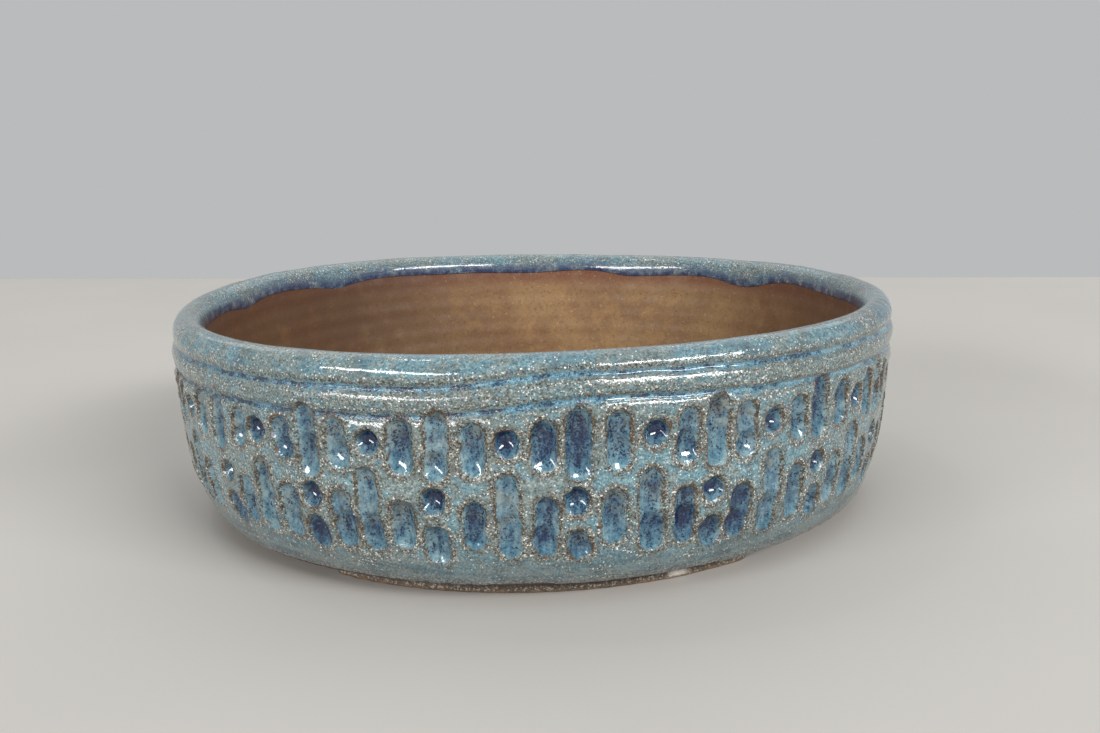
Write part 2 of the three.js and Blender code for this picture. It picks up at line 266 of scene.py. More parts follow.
class Ripple:
    """A smooth uneven field over angle and height, the same each run."""

    def __init__(self, waves, highest, heights):
        self.turns = rng.integers(2, highest, waves)
        self.climbs = rng.uniform(-heights, heights, waves)
        self.starts = rng.uniform(0, 2 * math.pi, waves)
        self.share = 1.0 / math.sqrt(waves)

    def __call__(self, angle, z):
        total = 0.0
        for turns, climb, start in zip(self.turns, self.climbs, self.starts):
            total = total + np.sin(np.radians(angle) * turns + z * climb + start)
        return total * self.share


def spiral(length, pitch, angle):
    """Waves along a length that move on by one pitch in each turn, as in thrown clay."""
    return np.sin(2 * np.pi * (length / pitch - angle / 360.0))


def line_height(line, angle):
    level, climb, start, rise_arc, sink = line
    turn = np.mod(angle - start, 360.0)
    rise = smooth(turn, 0.0, rise_arc)
    return level + climb * rise * np.exp(-np.clip(turn - rise_arc, 0, None) / sink)


# Meshes.

def add_object(name, data):
    obj = bpy.data.objects.new(name, data)
    bpy.context.scene.collection.objects.link(obj)
    return obj


def shade_smooth(mesh):
    mesh.polygons.foreach_set("use_smooth", np.ones(len(mesh.polygons), bool))


def mesh_object(name, points, faces, fields):
    """A smooth-shaded mesh in metres, its faces turned outwards, with one value per point for each field."""
    mesh = bpy.data.meshes.new(name)
    points = np.asarray(points, float).reshape(-1, 3) * 0.001
    first, second, third = points[faces[:, 0]], points[faces[:, 1]], points[faces[:, 2]]
    if np.einsum("ij,ij->", first, np.cross(second, third)) < 0:
        faces = faces[:, ::-1]
    mesh.from_pydata(points.tolist(), [], faces.tolist())
    for key, values in fields.items():
        layer = mesh.attributes.new(key, "FLOAT", "POINT")
        layer.data.foreach_set("value", np.asarray(values, np.float32).ravel())
    shade_smooth(mesh)
    mesh.update()
    return add_object(name, mesh)


def ring_faces(rows, around):
    """Quads of a closed loop of rows, each row a closed ring. The last ring of quads closes the loop."""
    j, i = np.meshgrid(np.arange(rows), np.arange(around), indexing="ij")
    down, right = (j + 1) % rows, (i + 1) % around
    quads = np.stack([j * around + i, j * around + right, down * around + right, down * around + i], -1)
    return quads.reshape(-1, 4)


# The carved glaze coat.

def gouges():
    """Each column's gouges as (centre angle, top, bottom, darkness), from column zero."""
    found = []
    for column in range(COLUMN_COUNT):
        number = column if column <= LAST_SEEN else column - COLUMN_COUNT
        if number in SEEN:
            found.append(SEEN[number])
            continue
        marks = []
        centre = PATTERN_TURN + COLUMN_STEP * number + rng.normal(0, 0.25)
        for top, bottom, dark in MOTIF[number % len(MOTIF)]:
            shift = rng.normal(0, 0.5, 3)
            pooled = float(np.clip(dark + 0.5 * shift[0] - 0.2 * shift[1], 0.25, 1.0))
            marks.append((centre + 0.3 * shift[0], top + shift[1], bottom + shift[2], pooled))
        found.append(marks)
    return found


def scoops(mark):
    """The one or two scoops that made a gouge: shift, top, bottom, width, depth, and how late it runs out."""
    _, top, bottom, _ = mark
    width = GOUGE_WIDTH * rng.uniform(0.95, 1.04)
    side = rng.choice((-1.0, 1.0)) * rng.uniform(0.12, 0.42)
    long = top - bottom
    if long < DOT_LENGTH:
        return [(0.0, top, bottom, min(width * 1.03, long), DOT_DEPTH, 2.2)]
    if rng.random() < ONE_SCOOP_SHARE:
        return [(0.3 * side, top, bottom, width, rng.uniform(*FULL_DEPTH), 2.0)]
    meet = top - long * rng.uniform(0.42, 0.62)
    shared = rng.uniform(1.2, 2.4)
    upper = (side, top, meet - shared, width * rng.uniform(0.92, 1.0), rng.uniform(*FIRST_DEPTH), 1.3)
    lower = (-side, meet + shared, bottom, width, rng.uniform(*FULL_DEPTH), 1.5)
    return [upper, lower]


def coat_angles(columns):
    """Ring angles, closest together where the gouges' sides are."""
    centres = np.array([np.mean([mark[0] for mark in marks]) for marks in columns])
    centres = np.where(np.arange(COLUMN_COUNT) <= LAST_SEEN, centres, centres + 360.0)
    following = np.append(centres[1:], centres[0] + 360.0)
    shares = np.array([0.0, 0.245, 0.441, 0.576, 0.699, 0.821])
    angles = []
    for here, after in zip(centres, following):
        half = (after - here) / 2
        angles.extend(here + half * shares)
        angles.append(here + half)
        angles.extend(after - half * shares[:0:-1])
    return np.array(angles)


def coat_rows():
    """Lengths along the outside for each row, and how much of the lines' climb the row follows."""
    base = length_outside(np.array([5.15, 5.7, 6.5, 7.6, 8.9, 10.2]))
    band = length_outside(np.arange(10.85, 44.0, 0.66))
    collar = length_outside(np.arange(44.4, 53.3, 0.47))
    rim = np.linspace(collar[-1], CREST, 9)[1:]
    rows = np.concatenate([base, band, collar, rim])
    z = np.interp(rows, LENGTHS, PROFILE[:, 1])
    follow = smooth(z, 40.0, 45.5) * (1.0 - smooth(rows, length_outside(52.6), CREST))
    return rows, follow


def glaze_edge_inside(angle):
    """Height of the wavy edge where the glaze stops inside the rim."""
    drop = GLAZE_DROP + 0.55 * Ripple(9, 19, 0.0)(angle, 0.0)
    for centre, half_arc, length in GLAZE_RUNS:
        drop = drop + length * bell(turn_from(centre, angle), 0.0, half_arc)
    return POT_HEIGHT - drop


def soften(field):
    """A field blurred about a millimetre up and down the wall, so that two scoops run into one colour."""
    field = field.copy()
    for _ in range(6):
        field[1:-1] = (field[:-2] + 2.0 * field[1:-1] + field[2:]) / 4.0
    return field


def carve(angle, z, columns, wobble):
    """The carving's depth, distance outside its edge, how dark the glaze pools and share down the gouge."""
    depth = np.zeros(angle.shape)
    edge = np.full(angle.shape, FAR_FROM_GOUGE)
    dark = np.full(angle.shape, USUAL_DARK)
    low = np.zeros(angle.shape)
    per_column = angle.shape[1] // COLUMN_COUNT
    half = per_column // 2
    for column, marks in enumerate(columns):
        span = (np.arange(per_column + 1) + column * per_column - half) % angle.shape[1]
        a, h = angle[:, span], z[:, span]
        for mark in marks:
            for shift, top, bottom, width, deep, ease in scoops(mark):
                across = np.radians(turn_from(mark[0], a)) * (POT_RADIUS - 1.5) - shift
                radius = width / 2
                beyond = np.maximum(np.maximum(h - (top - radius), (bottom + radius) - h), 0.0)
                distance = np.hypot(across, beyond) - radius + wobble[:, span]
                t = np.clip(distance / radius + 1.0, 0.0, 1.0)
                down = np.clip((top - h) / (top - bottom), 0, 1)
                run_out = 1.0 - 0.8 * np.clip((down - 0.32) / 0.68, 0, 1) ** ease
                cut = deep * (1.0 - t ** 2.7) ** 0.85 * run_out
                nearer = (distance < edge[:, span]) & (cut >= depth[:, span])
                depth[:, span] = np.maximum(depth[:, span], cut)
                edge[:, span] = np.minimum(edge[:, span], distance)
                dark[:, span] = np.where(nearer, mark[3], dark[:, span])
                reached = 1.0 if bottom == mark[2] else 0.8
                low[:, span] = np.where(nearer, down * reached, low[:, span])
    return depth, edge, dark, soften(low)


def score(angle, u, depth, edge):
    """The depth with the scored lines cut in, how far in a line a point is, and how far over the nearest."""
    waver = Ripple(8, 60, 0.05)
    in_line = np.zeros(angle.shape)
    over = np.full(angle.shape, FAR_FROM_LINE)
    for line in (UPPER_LINE, LOWER_LINE):
        away = u - length_outside(line_height(line, angle) + 0.12 * waver(angle, line[0]))
        deep = LINE_DEPTH * np.clip(1.0 - (np.abs(away) / LINE_HALF_WIDTH) ** 1.7, 0, 1)
        depth = np.maximum(depth, deep * (1.0 - smooth(-edge, -0.4, 0.6)))
        depth = depth - LINE_BURR * bell(away, 1.3, 0.4) * smooth(edge, 0.2, 1.0)
        depth = depth + LINE_HOLLOW * bell(away, 0.0, 1.5) * smooth(edge, 0.0, 0.8)
        in_line = np.maximum(in_line, np.clip(1.25 - np.abs(away) / LINE_HALF_WIDTH, 0, 1))
        over = np.where(np.abs(away) < np.abs(over), away, over)
    return depth, in_line, over


def glaze_coat():
    """The glaze, one closed coat: up the outside, over the rim to its edge, and back down inside the clay."""
    columns = gouges()
    angles = coat_angles(columns)
    rows, follow = coat_rows()
    angle = np.tile(angles, (len(rows), 1))
    climb_upper = line_height(UPPER_LINE, angle) - UPPER_LINE[0]
    climb_lower = line_height(LOWER_LINE, angle) - LOWER_LINE[0]
    row_height = np.interp(rows, LENGTHS, PROFILE[:, 1])[:, None]
    up = smooth(row_height, LOWER_LINE[0] + 1.0, UPPER_LINE[0] - 1.0)
    u = rows[:, None] + follow[:, None] * (climb_upper * up + climb_lower * (1 - up))
    z = on_profile(u)[1]

    wobble = 0.17 * Ripple(16, 420, 2.0)(angle, z) + 0.10 * Ripple(10, 150, 0.6)(angle, z)
    depth, edge, dark, low = carve(angle, z, columns, wobble)
    depth, in_line, over = score(angle, u, depth, edge)
    lower, upper = (length_outside(line_height(line, angle)) for line in (LOWER_LINE, UPPER_LINE))
    above_lower = u - lower
    gap = upper - lower
    below_upper = gap - above_lower
    swell = np.clip(below_upper / 2.2, 0, 1) * (1.0 - smooth(below_upper, 2.4, gap))
    depth = depth - SWELL_UNDER_UPPER * swell * smooth(edge, 0.0, 0.8)
    depth = depth - SWELL_UNDER_LOWER * bell(above_lower, -3.0, 1.5) * smooth(edge, 0.0, 1.0)
    depth = depth - RIDGE * bell(np.clip(edge, 0, None), 0.0, 0.5) * (edge > 0)
    depth = depth + 0.10 * Ripple(12, 34, 0.12)(angle, z) + 0.035 * Ripple(16, 150, 0.6)(angle, z)
    depth[:2] += np.array(FOOT_ROWS_INSET)[:, None]
    shown = placed(angle, *on_profile(u, depth))

    edge_length = length_inside(glaze_edge_inside(angles))
    share, inset = np.array(COAT_INSIDE).T[:, :, None]
    inner_u = CREST + (edge_length - CREST) * share
    inner = placed(angles, *on_profile(inner_u, inset))

    heights, inset = np.array(COAT_BACK).T
    down = np.append(CREST, length_outside(heights))[:, None] + 0.0 * angles
    back_u = np.concatenate([[edge_length - 0.3, edge_length - 1.6], down])
    back = placed(angles, *on_profile(back_u, np.append((0.5, 0.9, 1.35), inset)[:, None]))

    # What the material needs to know, as values outside, inside the rim and on the hidden back.
    sand = bell(np.clip(edge - 0.5, 0, None), 0.0, 1.1) * smooth(z, 9.0, 13.0)
    sand = np.maximum(sand, 0.75 * bell(np.abs(over), 1.7, 0.8))
    # Sand on the swell is partly grit and partly painted shade: it greys the upturned ridge under the upper
    # line.
    sand = np.maximum(sand, 0.6 * swell)
    glint = np.maximum(bell(below_upper, 1.3, 0.9), bell(above_lower, -1.9, 0.9))
    glint = glint * (1.0 - 0.9 * bell(turn_from(DULL_ANGLE, angle), 0.0, DULL_HALF_ARC, 4))
    deep = np.clip(depth / 2.2, 0, 1) * (edge < 0.2)
    deep = deep + (soften(deep) - deep) * smooth(-edge, 0.3, 1.3)
    thin_outside = 0.35 * bell(u, CREST, 1.6) + 1.0 - smooth(z, 5.2, 8.2)
    thin_inside = 0.35 * bell(inner_u, CREST, 1.6) + 0.5 * smooth(inner_u - edge_length, -0.5, 0.0)
    values = {
        "glint": (glint * smooth(edge, 0.0, 0.6), 0, 0),
        "crest": (smooth(u, length_outside(53.2), length_outside(54.4)), 0.2, 0),
        "edge": (edge, FAR_FROM_GOUGE, FAR_FROM_GOUGE),
        "deep": (deep, 0, 0),
        "dark": (dark, USUAL_DARK, USUAL_DARK),
        "low": (low, 0, 0),
        "line": (in_line * smooth(edge, -0.3, 0.3), 0, 0),
        "clean": (0.5 + 0.5 * np.sin(np.radians(angle - 8.0)), 0, 0),
        "over": (over, FAR_FROM_LINE, FAR_FROM_LINE),
        "sand": (sand, 0.3, 0),
        "pool": (0.0, smooth(inner_u - edge_length, -5.5, -1.0), 0),
        "thin": (thin_outside, thin_inside, 0),
    }
    parts = (shown, inner, back)
    fields = {}
    for name, three in values.items():
        spread = [np.broadcast_to(value, part.shape[:2]) for value, part in zip(three, parts)]
        fields[name] = np.concatenate(spread)
    points = np.concatenate(parts)
    return mesh_object("glaze_coat", points, ring_faces(*points.shape[:2]), fields)


# The bare clay body.

def clay_body():
    """The clay: up under the glaze, down the inside, over the floor, through the drain and back beneath."""
    angles = np.arange(CLAY_AROUND) * 360.0 / CLAY_AROUND
    heights, outer_inset = np.array(CLAY_OUTSIDE).T
    outer_u = length_outside(heights)
    rim_u = np.linspace(outer_u[-1], length_inside(56.0), 12)[1:]
    wall_u = np.arange(length_inside(55.2), FLOOR_START, 0.75)
    rows_u = np.concatenate([outer_u, rim_u, wall_u])
    inset = np.concatenate([outer_inset, np.linspace(1.1, 0.4, len(rim_u)), np.full(len(wall_u), CLAY_INSET)])
    u = rows_u[:, None] + 0.0 * angles
    inside = smooth(u, length_inside(55.0), length_inside(50.0))
    rings = spiral(u, 5.2, angles) + 0.6 * spiral(u, 8.7, -angles)
    uneven = inside * (0.07 * rings + 0.16 * Ripple(10, 9, 0.09)(angles, u))
    sides = placed(angles, *on_profile(u, inset[:, None] + uneven))

    drain_rim = DRAIN_RADIUS + DRAIN_EDGE
    fillet_end = PROFILE[-1, 0]
    floor_r = np.arange(fillet_end - 0.6, drain_rim + 0.5, -1.1)
    radius = floor_r[:, None] + 0.0 * angles
    level = smooth(radius, DRAIN_RADIUS + 1, DRAIN_RADIUS + 7)
    turned = spiral(radius, 4.6, angles) * smooth(radius, 16.0, 22.0)
    quarter = np.radians(angles % 90 - 45)
    holes = np.hypot(radius * np.cos(quarter) - WIRE_HOLE_CIRCLE, radius * np.sin(quarter))
    height = FLOOR_TOP - CLAY_INSET + 0.13 * turned * smooth(fillet_end - radius, 0.5, 6.0)
    height = height - DRAIN_DISH * (1 - level) + WIRE_HOLE_LIP * bell(holes, 3.4, 0.9)
    height = height + 0.08 * Ripple(12, 12, 0.12)(angles, radius)
    floor = placed(angles, radius, height)

    lip = arc((drain_rim, FLOOR_TOP - CLAY_INSET - DRAIN_DISH - DRAIN_EDGE), DRAIN_EDGE, 90, 180, 6)
    mouth = arc((drain_rim, FOOT_HEIGHT + DRAIN_EDGE), DRAIN_EDGE, 180, 270, 6)
    throat = np.stack([np.full(4, DRAIN_RADIUS), np.linspace(lip[-1, 1], mouth[0, 1], 6)[1:-1]], -1)
    hole_r, hole_z = np.concatenate([lip, throat, mouth]).T[:, :, None]
    drain = placed(angles, hole_r + 0.12 * Ripple(6, 7, 0.3)(angles, hole_z), hole_z + 0.0 * angles)

    under_r = np.linspace(drain_rim + 1.0, outside_radius(np.array(5.0)) - 3.6, 46)
    radius = under_r[:, None] + 0.0 * angles
    fade = smooth(under_r, 18.0, 24.0) * (1 - smooth(under_r, 84.0, 92.0))
    under = placed(angles, radius, FOOT_HEIGHT + 0.09 * spiral(radius, 3.4, angles) * fade[:, None])

    points = np.concatenate([sides, floor, drain, under])
    red = np.concatenate([1.0 - smooth(rows_u, length_inside(52.5), length_inside(44.0)),
                          np.zeros(len(floor)), np.full(len(drain), 0.4), np.linspace(0.2, 1.0, len(under))])
    # Painted shade: the inside wall and the floor's outer ring are darkened, except on the side left looking
    # lit.
    painted_clay_shade = np.concatenate([smooth(rows_u, outer_u[-1], rim_u[-1]), smooth(floor_r, 60.0, 80.0),
                          np.zeros(len(drain) + len(under))])
    aside = smooth(np.abs(turn_from(PAINTED_LIT_ANGLE, angles)), 14.0, 66.0)
    fields = {"red": red[:, None] + 0.0 * angles, "painted_clay_shade": painted_clay_shade[:, None] * aside}
    return pierced(mesh_object("clay_body", points, ring_faces(len(points), CLAY_AROUND), fields))


def pierced(body):
    """The body with the four wire holes cut through its floor, their mouths a little flared."""
    sides = 36
    flares = ((0.5, 1.5), (0.5, 4.4), (0.0, 5.2), (0.0, 11.2), (0.3, 12.0), (0.9, 12.9), (0.9, 15.0))
    points, faces = [], []
    for number in range(4):
        turn = math.radians(45 + 90 * number)
        cx, cy = WIRE_HOLE_CIRCLE * math.sin(turn), -WIRE_HOLE_CIRCLE * math.cos(turn)
        start = len(points)
        points.append((cx, cy, flares[0][1]))
        for flare, z in flares:
            for k in range(sides):
                t = 2 * math.pi * k / sides
                radius = WIRE_HOLE_RADIUS + flare
                points.append((cx + radius * math.cos(t), cy + radius * math.sin(t), z))
        points.append((cx, cy, flares[-1][1]))
        for k in range(sides):
            after = (k + 1) % sides
            faces.append((start, start + 1 + after, start + 1 + k))
            for row in range(len(flares) - 1):
                here, above = start + 1 + row * sides, start + 1 + (row + 1) * sides
                faces.append((here + k, here + after, above + after, above + k))
            top = start + 1 + (len(flares) - 1) * sides
            faces.append((top + k, top + after, len(points) - 1))
    mesh = bpy.data.meshes.new("wire_holes")
    mesh.from_pydata((np.array(points) * 0.001).tolist(), [], faces)
    cutter = add_object("wire_holes", mesh)
    cut = body.modifiers.new("holes", "BOOLEAN")
    cut.operation, cut.solver, cut.object = "DIFFERENCE", "EXACT", cutter
    bpy.context.view_layer.update()
    evaluated = body.evaluated_get(bpy.context.evaluated_depsgraph_get())
    with_holes = bpy.data.meshes.new_from_object(evaluated)
    body.modifiers.clear()
    body.data = with_holes
    bpy.data.objects.remove(cutter)
    shade_smooth(with_holes)
    return body


# The feet.

def foot(name, turn):
    """One arc foot with rounded ends, uneven sides and a worn bottom edge."""
    ends = 1 - 0.04 * (1 - np.cos(np.linspace(np.pi / 2, 0.25, 9)))
    stations = np.concatenate([-ends[::-1], np.linspace(-0.95, 0.95, 90), ends])
    middle = FOOT_OUTSIDE - FOOT_WIDTH / 2
    half_arc = math.radians(FOOT_ARC / 2) * middle
    along = stations[:, None] * half_arc
    to_end = np.clip((half_arc - np.abs(along)) / FOOT_CORNER, 0, 1)
    half_width = FOOT_WIDTH / 2 - FOOT_CORNER * (1 - np.sqrt(1 - (1 - to_end) ** 2))
    side, inset, z = np.array(FOOT_SECTION).T
    angle = turn + np.degrees(along / middle)
    wander = FOOT_UNEVEN * Ripple(9, 120, 0.8)(angle, z + 3 * side) * (np.abs(side) == 1)
    points = placed(angle, middle + (side * half_width - side * inset + wander), z + 0.0 * angle)

    steps, count = points.shape[:2]
    caps = []
    for first in (0, (steps - 1) * count):
        ring = first + np.arange(count)
        for k in range(count // 2 - 1):
            quad = [ring[k], ring[k + 1], ring[count - 2 - k], ring[count - 1 - k]]
            caps.append(quad[::-1] if first == 0 else quad)
    quads = np.concatenate([ring_faces(steps, count)[:-count], np.array(caps)])
    around = np.degrees(np.arctan2(points[..., 0], -points[..., 1]))
    chip = (bell(turn_from(CHIP_ANGLE, around), 0.0, CHIP_HALF_ARC, 4)
            * bell(z, CHIP_HEIGHT, CHIP_HALF_HEIGHT, 4))
    return mesh_object(name, points, quads, {"height": z + 0.0 * angle, "chip": chip})


# Procedural materials. Colours are red, green and blue from 0 to 255, as displayed.

def srgb(red, green, blue):
    """A display colour as the shader's linear numbers."""
    shown = [c / 255.0 for c in (red, green, blue)]
    return tuple(c / 12.92 if c < 0.04 else ((c + 0.055) / 1.055) ** 2.4 for c in shown) + (1.0,)


class Shade:
    """One procedural material, built node by node. Its patterns are measured in millimetres."""

    def __init__(self, name):
        self.material = bpy.data.materials.new(name)
        self.material.use_nodes = True
        self.tree = self.material.node_tree
        self.surface = self.tree.nodes["Principled BSDF"]
        place = self.node("TexCoord").outputs["Object"]
        scaled = self.node("VectorMath", operation="SCALE")
        self.put(scaled.inputs[0], place)
        self.put(scaled.inputs["Scale"], 1000.0)
        self.place = scaled.outputs[0]
        split = self.node("SeparateXYZ")
        self.put(split.inputs[0], self.place)
        self.height = split.outputs[2]

    def node(self, kind, **settings):
        made = self.tree.nodes.new("ShaderNode" + kind)
        for key, value in settings.items():
            setattr(made, key, value)
        return made

    def put(self, socket, value):
        if isinstance(value, bpy.types.NodeSocket):
            self.tree.links.new(value, socket)
        else:
            socket.default_value = value

    def math(self, operation, *values):
        """The operation on the first two values, then on the result and each further value."""
        total = values[0]
        for value in values[1:]:
            made = self.node("Math", operation=operation)
            self.put(made.inputs[0], total)
            self.put(made.inputs[1], value)
            total = made.outputs[0]
        return total

    def plus(self, *values):
        return self.math("ADD", *values)

    def times(self, *values):
        return self.math("MULTIPLY", *values)

    def most(self, *values):
        return self.math("MAXIMUM", *values)

    def rest(self, value):
        return self.math("SUBTRACT", 1.0, value)

    def blend(self, start, *parts):
        """start plus each (pattern, weight), the patterns being about 0.5 on average."""
        return self.plus(start, *(self.times(self.math("SUBTRACT", pattern, 0.5), weight)
                                  for pattern, weight in parts))

    def field(self, name):
        return self.node("Attribute", attribute_name=name).outputs["Fac"]

    def noise(self, scale, detail=2.0, rough=0.5, squeeze=None):
        """A noise pattern, drawn out along each axis whose squeeze is under 1."""
        made = self.node("TexNoise")
        place = self.place
        if squeeze:
            squeezed = self.node("VectorMath", operation="MULTIPLY")
            self.put(squeezed.inputs[0], place)
            self.put(squeezed.inputs[1], squeeze)
            place = squeezed.outputs[0]
        for key, value in (("Vector", place), ("Scale", scale), ("Detail", detail), ("Roughness", rough)):
            self.put(made.inputs[key], value)
        return made.outputs["Fac"]

    def grains(self, scale):
        """Two random values of each grain, and the distance from its centre."""
        made = self.node("TexVoronoi")
        self.put(made.inputs["Vector"], self.place)
        self.put(made.inputs["Scale"], scale)
        split = self.node("SeparateColor")
        self.put(split.inputs[0], made.outputs["Color"])
        return split.outputs[0], split.outputs[1], made.outputs["Distance"]

    def step(self, value, low, high, start=0.0, end=1.0):
        """start up to low, end from high on, and an even curve between."""
        made = self.node("MapRange", interpolation_type="SMOOTHSTEP")
        for key, number in (("Value", value), ("From Min", low), ("From Max", high), ("To Min", start),
                            ("To Max", end)):
            self.put(made.inputs[key], number)
        return made.outputs[0]

    def between(self, value, start, full, fade, end):
        """1 from full to fade, and nothing outside start and end."""
        return self.times(self.step(value, start, full), self.step(value, end, fade))

    def mix(self, share, first, second):
        """Two colours mixed. A colour of three numbers is a display colour."""
        made = self.node("Mix", data_type="RGBA")
        self.put(made.inputs[0], share)
        for index, value in ((6, first), (7, second)):
            displayed = isinstance(value, tuple) and len(value) == 3
            self.put(made.inputs[index], srgb(*value) if displayed else value)
        return made.outputs[2]

    def ramp(self, value, stops):
        """A colour for each value between 0 and 1, from (value, red, green, blue) stops."""
        made = self.node("ValToRGB")
        band = made.color_ramp
        band.elements.remove(band.elements[-1])
        band.elements[0].position = stops[0][0]
        for number, (at, *colour) in enumerate(stops):
            stop = band.elements.new(at) if number else band.elements[0]
            stop.color = srgb(*colour)
        self.put(made.inputs[0], value)
        return made.outputs[0]

    def finish(self, colour, rough, bumps):
        """bumps are (height, depth in mm) pairs, laid one over the other."""
        self.put(self.surface.inputs["Base Color"], colour)
        self.put(self.surface.inputs["Roughness"], rough)
        normal = None
        for height, deep in bumps:
            bump = self.node("Bump")
            self.put(bump.inputs["Height"], height)
            self.put(bump.inputs["Distance"], deep * 0.001)
            if normal:
                self.put(bump.inputs["Normal"], normal)
            normal = bump.outputs[0]
        self.put(self.surface.inputs["Normal"], normal)
        return self.material


# The glaze's ramps, each over the tones of its wash or of its grains.
TEAL = ((0.0, 56, 82, 96), (0.25, 82, 114, 126), (0.5, 103, 140, 150), (0.75, 124, 161, 168),
        (1.0, 168, 192, 194))
GREY_GREEN = ((0.0, 66, 76, 76), (0.25, 92, 106, 106), (0.5, 118, 134, 132), (0.75, 140, 156, 154),
              (1.0, 178, 190, 188))
SANDSTONE = ((0.0, 50, 44, 38), (0.1, 80, 75, 66), (0.25, 98, 100, 93), (0.5, 116, 122, 116),
             (0.7, 134, 140, 133), (0.88, 158, 162, 154), (0.97, 200, 203, 197), (1.0, 244, 245, 242))
STEEL_BLUE = ((0.0, 128, 154, 160), (0.22, 104, 134, 146), (0.42, 82, 114, 131), (0.62, 60, 94, 116),
              (0.8, 40, 67, 98), (1.0, 26, 42, 78))
SEA_BLUE = ((0.0, 124, 158, 165), (0.25, 92, 134, 147), (0.5, 65, 109, 128), (0.75, 42, 82, 102),
            (1.0, 24, 48, 70))
ASHEN = ((0.0, 136, 142, 136), (0.4, 104, 108, 102), (0.7, 78, 82, 80), (1.0, 56, 58, 62))
LINE_BLUE = ((0.0, 132, 166, 174), (0.22, 98, 142, 162), (0.45, 70, 116, 142), (0.64, 40, 76, 106),
             (0.8, 14, 28, 58))
RUST = ((0.1, 21, 18, 13), (0.4, 48, 37, 24), (0.7, 74, 59, 38), (0.95, 112, 98, 72))
WORN = ((0.1, 62, 58, 54), (0.5, 104, 104, 100), (0.9, 150, 152, 146))
GATHERED = ((0.1, 104, 122, 140), (0.45, 60, 72, 104), (0.8, 30, 36, 70))

# Its single colours.
# The first two are the swirled colours of the painted shade laid on the ground towards the foot.
PAINTED_SHADE_DARK, PAINTED_SHADE_PALE = (66, 79, 84), (106, 115, 114)
CREST_INK, CREST_GREY = (40, 60, 82), (84, 100, 106)
SANDY_GREY_AND_PAINTED_SHADE = (88, 100, 101)
WHITE_SPECK_AND_GLINT, BLACK_SPECK = (236, 237, 230), (40, 42, 46)
NAVY_POINT = (11, 25, 52)
RUST_RED = (98, 63, 34)


